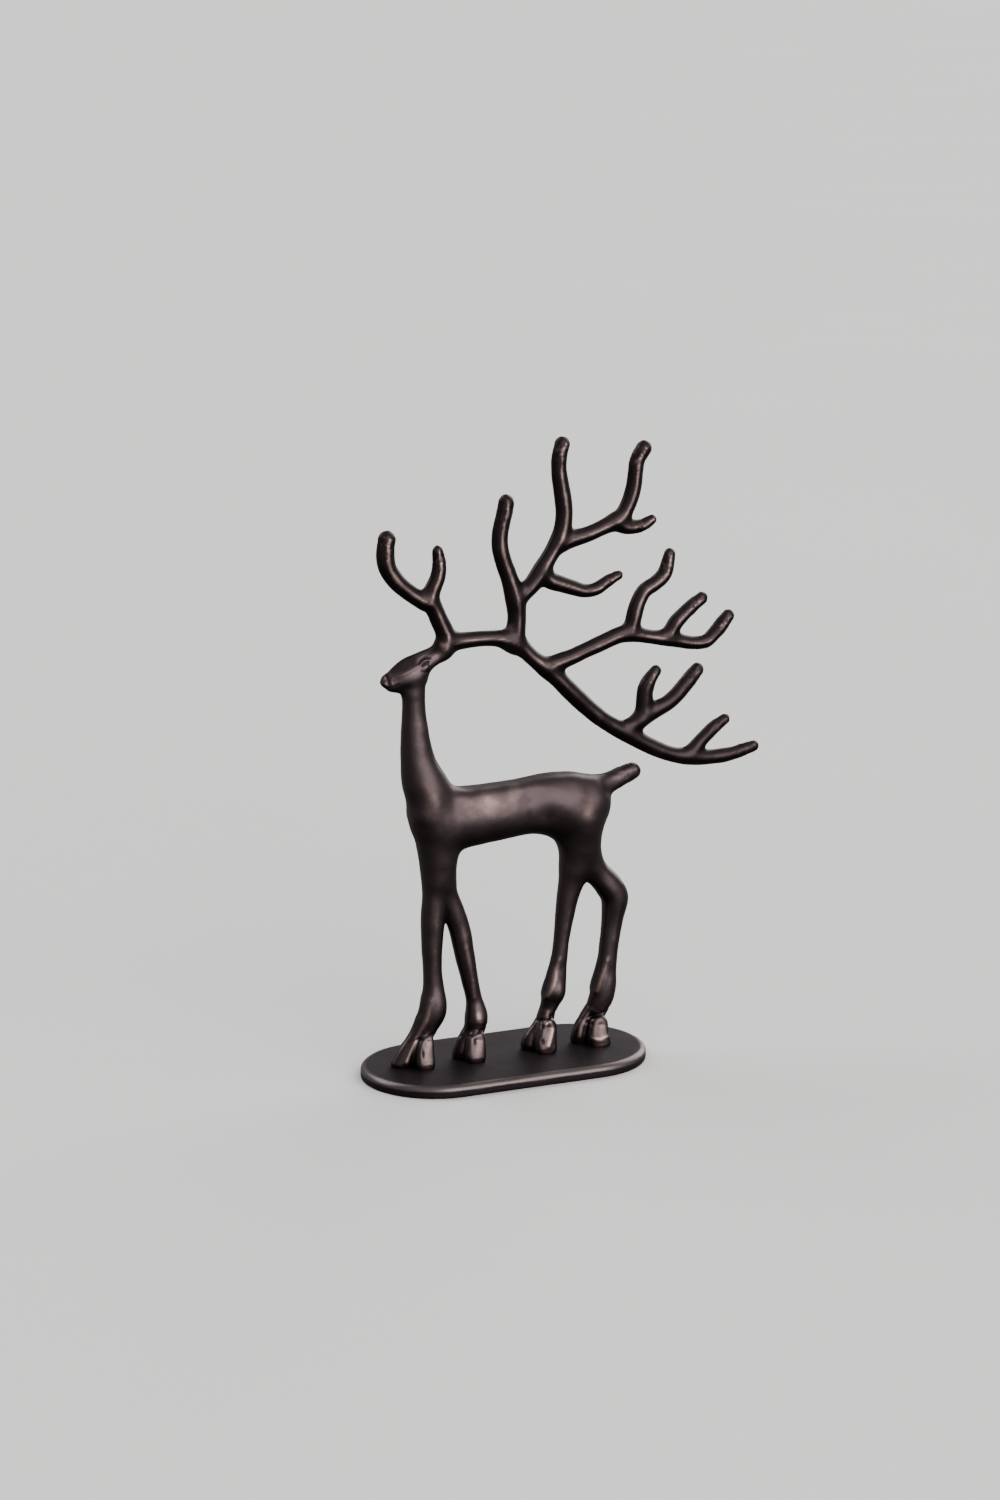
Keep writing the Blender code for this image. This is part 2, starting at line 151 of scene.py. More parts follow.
ANTLERS = {
    "brow stem": [(-30.4, 207, 3.5), (-29.6, 212, 4.2), (-32.6, 219, 4.3), (-36.3, 226.4, 4.0),
                  (-41, 228.8, 3.7), (-47, 232.8, 3.9), (-53.4, 238.6, 4.1),
                  (-58, 245, 4.3), (-59.3, 252, 4.4), (-58.5, 258.6, 4.2)],
    "inner brow tine": [(-38, 228.6, 3.2), (-36, 233.8, 3.9), (-33.3, 240, 3.7),
                        (-32.6, 246, 3.3), (-33.5, 251.6, 2.5)],
    "bridge": [(-31.5, 205.9, 3.1), (-26.5, 208.2, 4.1), (-19, 208.8, 3.8), (-11, 208.8, 3.7),
               (-3, 208.1, 3.7), (4, 206.0, 3.6)],
    "second stem": [(5.4, 205, 3.8), (6.1, 213, 4.5), (6.1, 221, 4.5), (4.6, 229, 4.5),
                    (2.4, 236.5, 4.2), (-0.6, 244.5, 4.1), (-2.3, 252, 4.0), (-1.9, 259, 4.0),
                    (-0.2, 266, 3.9), (0.8, 271.6, 3.9)],
    "tall stem": [(6.6, 226.5, 3.2), (11.3, 229.6, 3.9), (16.2, 234.9, 4.2), (20.7, 241.8, 4.0),
                  (25.2, 248.6, 3.9), (29, 256.4, 4.1), (30.3, 264, 4.2), (29.7, 271, 4.2),
                  (28.5, 278, 4.0), (27.5, 285, 3.8), (27.8, 291.5, 3.8), (29.2, 297.0, 3.7)],
    "back branch": [(30, 250.8, 3.7), (34.4, 252.2, 4.1), (41, 253.6, 3.8), (48, 255.8, 3.7),
                    (55, 258.6, 3.8), (60, 261.4, 3.8), (63.4, 267, 3.9), (65.7, 274, 4.0),
                    (66.7, 281, 3.8), (67.8, 287.4, 3.8), (71.0, 292.4, 3.9)],
    "back branch spur": [(57, 259.0, 2.6), (61, 256.4, 3.5), (66, 255.6, 3.3),
                         (71, 256.3, 3.0), (75.5, 258.6, 2.3)],
    "low tine": [(20, 237.6, 2.8), (23.4, 233.6, 4.0), (28.5, 231.5, 3.9), (34.5, 229.3, 3.6),
                 (41, 227.3, 3.2), (47, 227.8, 3.2), (53, 231.0, 3.0), (58.5, 233.4, 2.1)],
    "main beam": [(2.6, 206.6, 3.6), (8.3, 203.4, 3.8), (14, 197.9, 3.8), (20, 192.8, 3.9),
                  (26.8, 187, 4.1), (32.7, 180.9, 4.3), (38.7, 175, 4.3), (44.7, 169.5, 4.1),
                  (50.8, 164.6, 4.0), (59.8, 158.6, 4.0), (68.9, 153.4, 4.0), (78, 148.3, 3.9),
                  (88, 144.1, 3.7), (98, 141.9, 3.7), (108, 141, 3.6), (118, 141.4, 3.4),
                  (126, 143, 3.1), (131.2, 144.2, 2.7)],
    "upper beam": [(22.6, 192.8, 3.7), (28, 194.6, 4.1), (35, 196.4, 3.8), (43, 199.3, 3.8),
                   (51, 202.0, 3.9), (59, 204.6, 3.9), (66, 204.6, 3.6), (74, 202.8, 3.4),
                   (82, 201.2, 3.4), (90, 199.4, 3.3), (98, 197.7, 3.2), (104.8, 198.0, 3.3),
                   (109.4, 201.6, 3.6), (113.2, 205.8, 3.7), (116.5, 209.4, 3.0)],
    "upper beam front tine": [(64.6, 206.2, 2.8), (66.4, 212, 4.0), (68.5, 219, 3.9),
                              (72, 224.8, 3.8), (77.4, 227.9, 3.7), (82, 231.6, 3.7),
                              (84.1, 237, 3.5), (85, 241.6, 2.7)],
    "upper beam back tine": [(85.4, 203.4, 3.2), (88.5, 208.2, 3.8), (93.1, 212.4, 3.6),
                             (97.2, 215.6, 3.5), (102.3, 219, 3.0)],
    "middle fork": [(65.4, 160.4, 3.5), (69.4, 162.4, 4.4), (73.6, 164.6, 4.0),
                    (79.4, 167.2, 4.0), (85, 169.8, 3.9), (90.2, 173.9, 3.9),
                    (95, 178.8, 3.9), (100.2, 184.6, 3.3)],
    "middle fork front tine": [(72.2, 167.5, 3.6), (72.4, 172, 4.0), (73.1, 177.6, 4.0),
                               (75.6, 182.6, 3.5), (78.4, 185.9, 2.6)],
    "end fork": [(95.6, 143.4, 2.4), (98.8, 146, 3.4), (102.4, 149.4, 3.4), (106.4, 152.8, 3.4),
                 (111, 156.4, 3.2), (115.4, 158.9, 2.5)],
}

# Fineness of the skin, and small measures of it
RUN_SHARE = 0.42             # distance between a limb's rings over its mean radius
RING_SIDES = 20              # corners round a limb's raw tube
CAP_RINGS = 4                # rings in its round end
BLEND_SHARE = 0.22           # of the mean radius, reach of the blend along a limb
SKIN_CELL = 0.94             # squares, grid on which the raw limbs are fused
PROBE = 0.04                 # squares, distance over which the field's slope is read
FAR_AWAY = 7.0               # squares past a limb at which it no longer counts
BEND_STEP = 1.2              # squares, distance over which the field's bend is read
LONGEST_MOVE = 0.9           # squares, limit of one step toward the skin
LEVEL_ROUNDS = 24            # rounds of means that give the level about a ridge
RIDGE_HEIGHT = 0.12          # squares over that level at which a ridge is fully rubbed
ROUND_PACES = (0.5, -0.515)  # share of the way to the neighbours' mean, there and back
CREASE_WEIGHT = 1.6          # how strongly a crease counts against a ridge
SOLE_SUNK = 0.12             # squares that the soles reach into the plate
SOLE_DRAWN_IN = 0.7          # squares that the hooves draw in above their soles
FINE_HEAD = (-34, 186, 206)  # squares: the skin is finer before this x, between these heights
FINE_HOOF = 25               # squares: and under this height

# Squares between which one form gives way to the next, up in Z or, where it says so, along X
SOLE_FADE = (5.0, 8.6)       # from the drawn-in soles to the hooves
CREASE_FADE = (18, 26)       # from the toes' flat sides, which show no creases, to the legs
HOOF_FADE = (20, 30)         # from hoof to leg
LEG_FADE = (86, 108)         # from leg to body
NECK_FADE = (150, 172)       # from body to neck
TAIL_FADE = (50, 60)         # from body to tail, along X
CHIN_FADE = (184, 190)       # from neck to head
HEAD_FADE = (206, 212)       # from head to antlers
EAR_FADE = (-38, -30)        # from head to antlers, along X
# Painted shade: the antlers' black is darker than the head's
ANTLER_SHADE_FADE = (200, 209)     # from the head's black to the antlers'
BACK_FADES = ((5, 20), (144, 150))      # the antlers behind the head, along X and up
END_FADES = ((76, 84), (110, 125))      # and their low end behind the tail
TIP_FADE = (5, 17)           # away from a tine's end
# Heights between which the limbs show no painted crest highlight: the ridged shins, and the body
PLAIN_SHIN = ((24, 30), (46, 60))
PLAIN_BODY = ((70, 96), (160, 205))
# Share of a normal that points out to the side, at which a form fades in
CARVED_FLANK = (0.15, 0.55)
CREST_FLANK = (0.25, 0.75)
PAINTED_LIGHT_FLANK = (0.1, 0.6)

# Waver of the hand-dressed skin: length in squares, seed, share of the hand waver
HAND_WAVES = [(11.0, 3, 1.0), (4.5, 8, 0.25)]
TINE_WAVES = (2.3, 5)


class Sock:
    """A shader socket that takes part in Python arithmetic; each operation is a Math node."""

    def __init__(self, nodes, socket):
        self.nodes = nodes
        self.socket = socket

    def math(self, operation, *values):
        """A Math node of this operation on the values in their order."""
        return self.nodes.add("ShaderNodeMath", {"operation": operation}, *values)

    def __add__(self, other):
        return self.math("ADD", self, other)

    def __radd__(self, other):
        return self.math("ADD", other, self)

    def __sub__(self, other):
        return self.math("SUBTRACT", self, other)

    def __rsub__(self, other):
        return self.math("SUBTRACT", other, self)

    def __mul__(self, other):
        return self.math("MULTIPLY", self, other)

    def __rmul__(self, other):
        return self.math("MULTIPLY", other, self)

    def __neg__(self):
        return self.math("MULTIPLY", self, -1.0)

    def step(self, low, high):
        """0 below low, 1 above high, smooth between."""
        return self.nodes.add("ShaderNodeMapRange", {"interpolation_type": "SMOOTHSTEP"},
                              Value=self, From_Min=low, From_Max=high)


class Nodes:
    """The nodes of a material or of the surround."""

    def __init__(self, tree):
        self.tree = tree

    def plug(self, place, value):
        """Link a socket into an input, or set the input to a plain value."""
        if isinstance(value, Sock):
            self.tree.links.new(value.socket, place)
        else:
            place.default_value = value

    def add(self, kind, settings=None, *values, output=0, **named):
        """A node of this kind: its settings first, then its inputs in their order or by name."""
        node = self.tree.nodes.new(kind)
        for name, value in (settings or {}).items():
            setattr(node, name, value)
        for place, value in zip(node.inputs, values):
            self.plug(place, value)
        for name, value in named.items():
            self.plug(node.inputs[name.replace("_", " ")], value)
        return Sock(self, node.outputs[output])


class Finish(Nodes):
    """One material and the nodes that are added to it."""

    def __init__(self, name):
        self.material = bpy.data.materials.new(name)
        self.material.use_nodes = True
        super().__init__(self.material.node_tree)
        self.shader = self.tree.nodes["Principled BSDF"]

    def mix(self, first, second, factor):
        """Colour from first to second as factor goes from 0 to 1."""
        first, second = [(*end, 1.0) if isinstance(end, tuple) else end
                         for end in (first, second)]
        return self.add("ShaderNodeMix", {"data_type": "RGBA"}, output="Result",
                        Factor=factor, A=first, B=second)

    def place(self, stretch=(1.0, 1.0, 1.0)):
        """Object coordinates in metres, stretched along the axes."""
        where = self.add("ShaderNodeTexCoord", output="Object")
        return self.add("ShaderNodeMapping", Vector=where, Scale=stretch)

    def grain(self, size, place, detail=3.0, roughness=0.55, distortion=0.0):
        """Noise from 0 to 1 whose lumps measure about size metres."""
        return self.add("ShaderNodeTexNoise", {"noise_dimensions": "3D"}, Vector=place,
                        Scale=1.0 / size, Detail=detail, Roughness=roughness,
                        Distortion=distortion)

    def attribute(self, name):
        """A value kept on the mesh's points."""
        return self.add("ShaderNodeAttribute", {"attribute_name": name}, output="Fac")

    def finish(self, **values):
        """Set or link the Principled shader's sockets."""
        for name, value in values.items():
            if isinstance(value, tuple):
                value = (*value, 1.0)
            self.plug(self.shader.inputs[name.replace("_", " ")], value)
        return self.material


class CastingShape(PropertyGroup):
    """Sizes of the carving on the cast animal."""
    body_fillet: FloatProperty(
        name="Body fillet", description="How softly the limbs of the body run together",
        default=0.0020, min=0.0005, subtype="DISTANCE", unit="LENGTH")
    body_smoothing: IntProperty(
        name="Body smoothing", description="Rounds of smoothing that round the body's creases",
        default=150, min=0)
    antler_fillet: FloatProperty(
        name="Antler fillet", description="How softly tines grow out of a beam",
        default=0.0018, min=0.0003, subtype="DISTANCE", unit="LENGTH")
    head_fillet: FloatProperty(
        name="Head fillet", description="How softly ear, jaw and skull run together",
        default=0.0008, min=0.0003, subtype="DISTANCE", unit="LENGTH")
    tine_waver: FloatProperty(
        name="Tine waver", description="Height of the uneven ends of tines",
        default=0.00016, min=0.0, subtype="DISTANCE", unit="LENGTH")
    hand_waver: FloatProperty(
        name="Hand waver", description="Height of the slow waver of a hand-dressed casting",
        default=0.00010, min=0.0, subtype="DISTANCE", unit="LENGTH")
    groove_depth: FloatProperty(
        name="Groove depth", description="Depth of the cuts at the mouth, ear and hooves",
        default=0.00045, min=0.0, subtype="DISTANCE", unit="LENGTH")


class CastingFinish(PropertyGroup):
    """Colours of the blackened metal."""
    dark: FloatVectorProperty(
        name="Dark metal", description="The blackened metal's colour", subtype="COLOR",
        size=3, min=0.0, max=1.0, default=(0.067, 0.049, 0.051))
    # Wear on the ridges, and also the colour of the painted highlights and sheen
    rub_and_painted_highlight: FloatVectorProperty(
        name="Rubbed metal", description="The colour where ridges are rubbed",
        subtype="COLOR", size=3, min=0.0, max=1.0, default=(0.270, 0.187, 0.173))
    # Black kept in the creases, and also the colour of the painted shade on the head's top, the
    # lower flank and before the haunch
    black_and_painted_shade: FloatVectorProperty(
        name="Hollow metal", description="The colour in creases, where the black stays",
        subtype="COLOR", size=3, min=0.0, max=1.0, default=(0.018, 0.013, 0.015))
    roughness: FloatProperty(
        name="Roughness", description="Roughness of the satin skin", subtype="FACTOR",
        default=0.34, min=0.0, max=1.0)
    grain: FloatProperty(
        name="Grain size", description="Size of the cast skin's grain",
        default=0.0011, min=0.0001, subtype="DISTANCE", unit="LENGTH")


class PlateShape(PropertyGroup):
    """Sizes of the oval plate's edges."""
    top_round: FloatProperty(
        name="Upper edge", description="Radius of the plate's upper edge",
        default=0.0027, min=0.0002, subtype="DISTANCE", unit="LENGTH")
    foot_round: FloatProperty(
        name="Lower edge", description="Radius of the plate's lower edge",
        default=0.0009, min=0.0001, subtype="DISTANCE", unit="LENGTH")
    waver: FloatProperty(
        name="Waver", description="Height of the cast plate's slow unevenness",
        default=0.00009, min=0.0, subtype="DISTANCE", unit="LENGTH")


class PlateFinish(PropertyGroup):
    """Colours of the plate."""
    face: FloatVectorProperty(
        name="Face", description="The matte top face's colour", subtype="COLOR",
        size=3, min=0.0, max=1.0, default=(0.022, 0.015, 0.019))
    # The rim's wear, with its painted highlight band
    rim: FloatVectorProperty(
        name="Rim", description="The rubbed rim's colour", subtype="COLOR",
        size=3, min=0.0, max=1.0, default=(0.120, 0.098, 0.098))
    roughness: FloatProperty(
        name="Roughness", description="Roughness of the top face", subtype="FACTOR",
        default=0.55, min=0.0, max=1.0)


class StudioLook(PropertyGroup):
    """Floor, windows of light, surround and camera."""
    floor_reach: FloatProperty(
        name="Floor reach", description="Half the floor's side", default=16.0, min=1.0,
        subtype="DISTANCE", unit="LENGTH")
    floor_colour: FloatVectorProperty(
        name="Floor", description="The pale floor's colour", subtype="COLOR",
        size=3, min=0.0, max=1.0, default=(0.86, 0.85, 0.84))
    surround: FloatProperty(
        name="Surround", description="Strength of the soft grey surround", default=0.31,
        min=0.0)
    backdrop: FloatProperty(
        name="Backdrop", description="Brightness of the surround where it is seen directly",
        default=0.78, min=0.0)
    lens: FloatProperty(
        name="Lens", description="The camera's focal length in millimetres", default=90.0,
        min=10.0)
    fineness: IntProperty(
        name="Floor grid", description="Divisions along each side of the floor", default=8,
        min=2)


SETTINGS = {
    "casting_shape": CastingShape,
    "casting_finish": CastingFinish,
    "plate_shape": PlateShape,
    "plate_finish": PlateFinish,
    "studio_look": StudioLook,
}


def smooth_run(stations):
    """A Catmull-Rom curve read at even shares of its chord length.

    Each point is start + half the share times (end - before), plus the usual square and
    cube terms of the four neighbouring stations.
    """
    points = np.array(stations, dtype=float)
    padded = np.vstack([2 * points[0] - points[1], points, 2 * points[-1] - points[-2]])
    chord = np.concatenate([[0], np.cumsum(np.linalg.norm(np.diff(points[:, :2], axis=0), axis=1))])
    count = int(np.ceil(chord[-1] / (RUN_SHARE * points[:, 2].mean()))) + 1
    where = np.interp(np.linspace(0, chord[-1], count), chord, np.arange(len(points)))
    index = np.minimum(where.astype(int), len(points) - 2)
    share = (where - index)[:, None]
    before, start, end, after = (padded[index + shift] for shift in range(4))
    bend = 2 * before - 5 * start + 4 * end - after
    twist = 3 * start - before - 3 * end + after
    return start + 0.5 * share * (end - before + share * (bend + share * twist))


def all_limbs():
    """Every limb as (kind, run of x, z and radius, sides at the run's points)."""
    limbs = []

    def put(kind, stations, start=0.0, end=0.0):
        run = smooth_run(stations)
        limbs.append((kind, run, np.linspace(start, end, len(run))))

    groups = (("trunk", TRUNK), ("neck", NECK), ("head", HEAD), ("leg", LEGS),
              ("antler", ANTLERS))
    for kind, group in groups:
        for stations in group.values():
            put(kind, stations)
    for stations in FAR_TOES.values():
        put("far toe", stations, *FAR_TOE_SIDES)
    for stations in NEAR_TOES.values():
        put("near toe", stations, *NEAR_TOE_SIDES)
    return limbs


def raw_tube(run, sides, depth):
    """A tube round one limb with round ends: points in squares, quads and end caps.

    The point at ring i and angle t is centre(i) + across(i) r cos t + Y depth r sin t, and
    the end rings shrink as the cosine while they move on by the sine.
    """
    centres = np.column_stack([run[:, 0], sides, run[:, 1]])
    along = np.gradient(centres, axis=0)
    along /= np.linalg.norm(along, axis=1)[:, None]
    turns = np.linspace(0, np.pi / 2, CAP_RINGS + 2)[1:-1]
    first, last = run[0, 2], run[-1, 2]
    start = centres[0] - along[0] * first * np.sin(turns[::-1, None])
    end = centres[-1] + along[-1] * last * np.sin(turns[:, None])
    spine = np.vstack([start, centres, end])
    radius = np.concatenate([first * np.cos(turns[::-1]), run[:, 2], last * np.cos(turns)])
    heading = np.vstack([np.repeat(along[:1], CAP_RINGS, 0), along,
                         np.repeat(along[-1:], CAP_RINGS, 0)])
    across = np.column_stack([-heading[:, 2], np.zeros(len(heading)), heading[:, 0]])
    across /= np.linalg.norm(across, axis=1)[:, None]
    angle = np.linspace(0, 2 * np.pi, RING_SIDES, endpoint=False)
    ring = spine[:, None] + across[:, None] * (radius[:, None] * np.cos(angle))[..., None]
    ring[..., 1] += depth * radius[:, None] * np.sin(angle)
    rows, corners = np.meshgrid(np.arange(len(spine) - 1), np.arange(RING_SIDES), indexing="ij")
    beside = (corners + 1) % RING_SIDES
    low, high = rows * RING_SIDES, (rows + 1) * RING_SIDES
    quads = np.stack([low + corners, low + beside, high + beside, high + corners], -1)
    cap = np.arange(RING_SIDES)
    caps = np.stack([cap[::-1], cap + (len(spine) - 1) * RING_SIDES])
    return ring.reshape(-1, 3), quads.reshape(-1, 4), caps


def limb_distance(points, run, sides, kind):
    """Distance from a limb's skin, in squares, below 0 inside it.

    In the middle plane a is the distance from the limb's run, across it b is the distance
    from its side, both over the radius there; with fullness p, which may differ above and
    below the run, the skin is where a^p + b^p = 1, each softened near 0 by a hyperbola. The
    radius and the side are means of the run's, each weighted by exp(-how much farther it
    is). A leaning limb gets less deep toward its top. Also gives a itself, which is 0 along
    the limb's crest.
    """
    depth, high, low, softness, (lean, start_lean, end_lean) = KINDS[kind]
    start, stretch = run[:-1], np.diff(run, axis=0)
    across = points[:, :1] - start[:, 0]
    up = points[:, 2:] - start[:, 1]
    length = (stretch[:, :2] ** 2).sum(-1)
    share = np.clip((across * stretch[:, 0] + up * stretch[:, 1]) / length, 0, 1)
    gap = np.hypot(across - share * stretch[:, 0], up - share * stretch[:, 1])
    nearest = gap.min(1)
    weight = np.exp((nearest[:, None] - gap) / (BLEND_SHARE * run[:, 2].mean()))
    weight /= weight.sum(1)[:, None]
    radius = (weight * (start[:, 2] + share * stretch[:, 2])).sum(1)
    side = (weight * (sides[:-1] + share * np.diff(sides))).sum(1)
    over = (weight * (up - share * stretch[:, 1])).sum(1) / radius
    fullness = high if high == low else low + (high - low) * ease(over, -0.2, 0.2)
    flat = nearest / radius
    thick = depth * radius * (1 - lean * ease(over, start_lean, end_lean))
    deep = np.abs(points[:, 1] - side) / thick
    if softness:
        rest = np.sqrt(1 + softness ** 2) - softness
        flat = (np.sqrt(flat ** 2 + softness ** 2) - softness) / rest
        deep = (np.sqrt(deep ** 2 + softness ** 2) - softness) / rest
    distance = radius * ((flat ** fullness + deep ** fullness) ** (1 / fullness) - 1)
    return distance, nearest / radius


def ease(value, low, high):
    """0 below low, 1 above high, with a smooth S between."""
    share = np.clip((value - low) / (high - low), 0, 1)
    return share * share * (3 - 2 * share)


def between(value, rise, fall):
    """1 between the rise and the fall, each a pair of values from end to end of a fade."""
    return ease(value, *rise) * (1 - ease(value, *fall))


def facing(normals, fade):
    """1 where the skin faces either side, fading out toward the middle plane."""
    return ease(np.abs(normals[:, 1]), *fade)


def body_share(points):
    """1 on trunk, shoulder and haunch, fading down the legs, up the neck and to the tail."""
    return between(points[:, 2], LEG_FADE, NECK_FADE) * (1 - ease(points[:, 0], *TAIL_FADE))


def fillet_at(points, shape):
    """Fillet width at each point: wide on the body, finer on antlers, head and hooves."""
    x, z = points[:, 0], points[:, 2]
    head = between(z, CHIN_FADE, HEAD_FADE) * (1 - ease(x, *EAR_FADE))
    hoof = 1 - ease(z, *HOOF_FADE)
    width = shape.antler_fillet + body_share(points) * (shape.body_fillet - shape.antler_fillet)
    width += np.maximum(head, hoof) * (shape.head_fillet - width)
    return (width - 0.3 * hoof * shape.head_fillet) / SQUARE


def near_limb(points, run):
    """The numbers of the points that are close enough to a limb to count."""
    reach = run[:, 2].max() + FAR_AWAY
    low, high = run[:, :2].min(0) - reach, run[:, :2].max(0) + reach
    flat = points[:, ::2]
    return np.flatnonzero(((flat > low) & (flat < high)).all(1))


def skin_field(points, limbs, width):
    """The fused limbs: minus the width times the log of the sum of exp(-distance/width)."""
    total = np.full(len(points), -1e9)
    for kind, run, sides in limbs:
        near = near_limb(points, run)
        if len(near):
            distance = limb_distance(points[near], run, sides, kind)[0]
            total[near] = np.logaddexp(total[near], -distance / width[near])
    return -width * total


def crest_highlight_share(points, limbs, width):
    """Painted highlight, partly wear: 1 along the crests of legs and antlers and 0 off them, fading
    as a bell.

    Where limbs meet, each counts by exp(-distance/width).
    """
    total = np.zeros(len(points))
    crest = np.zeros(len(points))
    for kind, run, sides in limbs:
        near = near_limb(points, run)
        distance, flat = limb_distance(points[near], run, sides, kind)
        weight = np.exp(-np.clip(distance / width[near], -20, 20))
        total[near] += weight
        if kind in CREST_HIGHLIGHTS:
            wide, strength = CREST_HIGHLIGHTS[kind]
            crest[near] += weight * strength * np.exp(-(flat / wide) ** 2)
    return crest / np.maximum(total, 1e-6)


def skin_creases(points, limbs, width):
    """1 in the creases where limbs meet, 0 on plain skin.

    It follows the field's bend over a step on each axis: the sum of the field at six places a
    step away less six times the field itself, over the step squared. Below 0 the skin is
    concave.
    """
    value = -6 * skin_field(points, limbs, width)
    for axis in np.vstack([np.eye(3), -np.eye(3)]):
        value += skin_field(points + BEND_STEP * axis, limbs, width)
    return 1 - ease(value / BEND_STEP ** 2, -0.25, 0.10)


def field_slope(points, limbs, width, value):
    """Slope of the field at each point, from its rise over a short probe on each axis."""
    return np.stack([skin_field(points + PROBE * axis, limbs, width) - value
                     for axis in np.eye(3)], 1) / PROBE


def fit_to_skin(points, edges, limbs, shape):
    """Newton steps that bring each point to where the field is 0.

    Between them the points slide along the skin toward their neighbours' mean, which
    evens out the quads.
    """
    for slides in (3, 0):
        width = fillet_at(points, shape)
        value = skin_field(points, limbs, width)
        slope = field_slope(points, limbs, width, value)
        size = (slope ** 2).sum(1)
        for _ in range(2):
            move = -(value / np.maximum(size, 0.05))[:, None] * slope
            length = np.linalg.norm(move, axis=1)[:, None]
            points = points + move * np.minimum(1, LONGEST_MOVE / np.maximum(length, 1e-9))
            value = skin_field(points, limbs, width)
        normals = slope / np.sqrt(size)[:, None]
        for _ in range(slides):
            pull = neighbour_mean(points, edges) - points
            points = points + pull - (pull * normals).sum(1)[:, None] * normals
    return points


def round_body(mesh, points, edges, rounds):
    """Round the creases between the body's limbs without shrinking it.

    Each round moves a point half way to its neighbours' mean and then a little farther
    back, all times its share of the body.
    """
    share = body_share(points)[:, None]
    for _ in range(rounds):
        for pace in ROUND_PACES:
            points = points + pace * share * (neighbour_mean(points, edges) - points)
    mesh.vertices.foreach_set("co", points.astype(np.float32).ravel())
    mesh.update()
    flat = np.empty(len(points) * 3, np.float32)
    mesh.vertex_normals.foreach_get("vector", flat)
    return points, flat.reshape(-1, 3).astype(float)


def fuse(points, faces, cell):
    """Fuse overlapping closed tubes into one even quad skin with a voxel grid."""
    mesh = bpy.data.meshes.new("raw")
    mesh.from_pydata(points, [], faces)
    item = bpy.data.objects.new("raw", mesh)
    bpy.context.collection.objects.link(item)
    remesh = item.modifiers.new("fuse", "REMESH")
    remesh.mode = "VOXEL"
    remesh.voxel_size = cell
    ready = item.evaluated_get(bpy.context.evaluated_depsgraph_get())
    fused = bpy.data.meshes.new_from_object(ready)
    bpy.data.objects.remove(item)
    bpy.data.meshes.remove(mesh)
    return fused


def mesh_points(mesh):
    """All points of a mesh as an array."""
    flat = np.empty(len(mesh.vertices) * 3, np.float32)
    mesh.vertices.foreach_get("co", flat)
    return flat.reshape(-1, 3).astype(float)


def mesh_edges(mesh):
    """All edges of a mesh as pairs of point numbers."""
    flat = np.empty(len(mesh.edges) * 2, np.int32)
    mesh.edges.foreach_get("vertices", flat)
    return flat.reshape(-1, 2)


def refine(mesh, wanted):
    """Split once the edges whose two ends are wanted, for the fine carving there."""
    body = bmesh.new()
    body.from_mesh(mesh)
    chosen = [edge for edge in body.edges
              if wanted[edge.verts[0].index] and wanted[edge.verts[1].index]]
    bmesh.ops.subdivide_edges(body, edges=chosen, cuts=1, use_grid_fill=True)
    body.to_mesh(mesh)
    body.free()


def neighbour_mean(values, edges):
    """Mean of each point's neighbours over the mesh's edges."""
    count = len(values)
    here, there = np.concatenate([edges, edges[:, ::-1]]).T
    degree = np.bincount(here, minlength=count)
    columns = values.reshape(count, -1).T
    total = [np.bincount(here, column[there], minlength=count) for column in columns]
    return (np.array(total) / degree).T.reshape(values.shape)


def waves(points, length, seed, count=14):
    """Slow waver from -1 to 1: a mean of sine waves in seeded directions of like length."""
    chance = np.random.default_rng(seed)
    heading = chance.normal(size=(count, 3))
    heading /= np.linalg.norm(heading, axis=1)[:, None]
    pace = 2 * np.pi / (length * chance.uniform(0.75, 1.35, count))
    phase = chance.uniform(0, 2 * np.pi, count)
    return np.sin(points @ (heading * pace[:, None]).T + phase).sum(1) / np.sqrt(count) / 1.6


def stroke(points, line, width):
    """1 on a stroke drawn through points (x, z) of the middle plane, fading as a bell."""
    line = np.array(line, dtype=float)
    start, stretch = line[:-1], np.diff(line, axis=0)
    offset = points[:, None, ::2] - start
    share = np.clip((offset * stretch).sum(-1) / (stretch ** 2).sum(-1), 0, 1)
    gap = np.linalg.norm(offset - share[..., None] * stretch, axis=-1).min(1)
    return np.exp(-(gap / width) ** 2)


def spot(points, x, z, wide, tall, turn=0.0):
    """1 at (x, z), fading as a bell over an ellipse turned by an angle."""
    across, up = points[:, 0] - x, points[:, 2] - z
    along = across * np.cos(turn) + up * np.sin(turn)
    over = -across * np.sin(turn) + up * np.cos(turn)
    return np.exp(-(along / wide) ** 2 - (over / tall) ** 2)


# Broad forms of both flanks: x, z, half width, half height, turn and height
FORMS = [(18.0, 123.5, 11.5, 6.0, -0.65, -1.2), (38.5, 113.0, 10.0, 9.5, 0.1, 1.9),
         (-39.5, 133.0, 5.5, 10.0, 0.0, 0.9), (-28.0, 126.0, 4.6, 11.0, 0.1, -0.6)]
